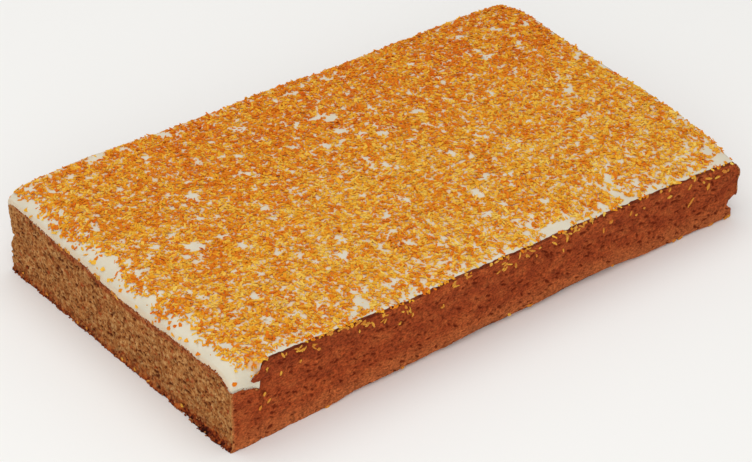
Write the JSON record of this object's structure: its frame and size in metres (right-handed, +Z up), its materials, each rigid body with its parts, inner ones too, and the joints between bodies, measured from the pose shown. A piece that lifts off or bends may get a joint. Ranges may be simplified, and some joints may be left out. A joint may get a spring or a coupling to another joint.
{
  "type": "carrot cake",
  "caption": "Iced slab of carrot sponge cake, cut at one end and crusted on its other sides, topped with cream icing and carrot flakes.",
  "frame": {"origin": "centre of the slab's box on the surface it rests on", "axes": "+X along the slab from its cut end to its crusted end, +Y across it from the front crust side to the back one, +Z up"},
  "size_m": [0.3161, 0.184, 0.0473],
  "materials": {
    "sponge": "baked carrot sponge: reddish brown crust with a tan open crumb at the cut end",
    "icing": "soft cream-white icing strewn with yellow and orange carrot flakes"
  },
  "bodies": {
    "root": {"sponge": "sponge", "icing": "icing"}
  },
  "joints": []
}
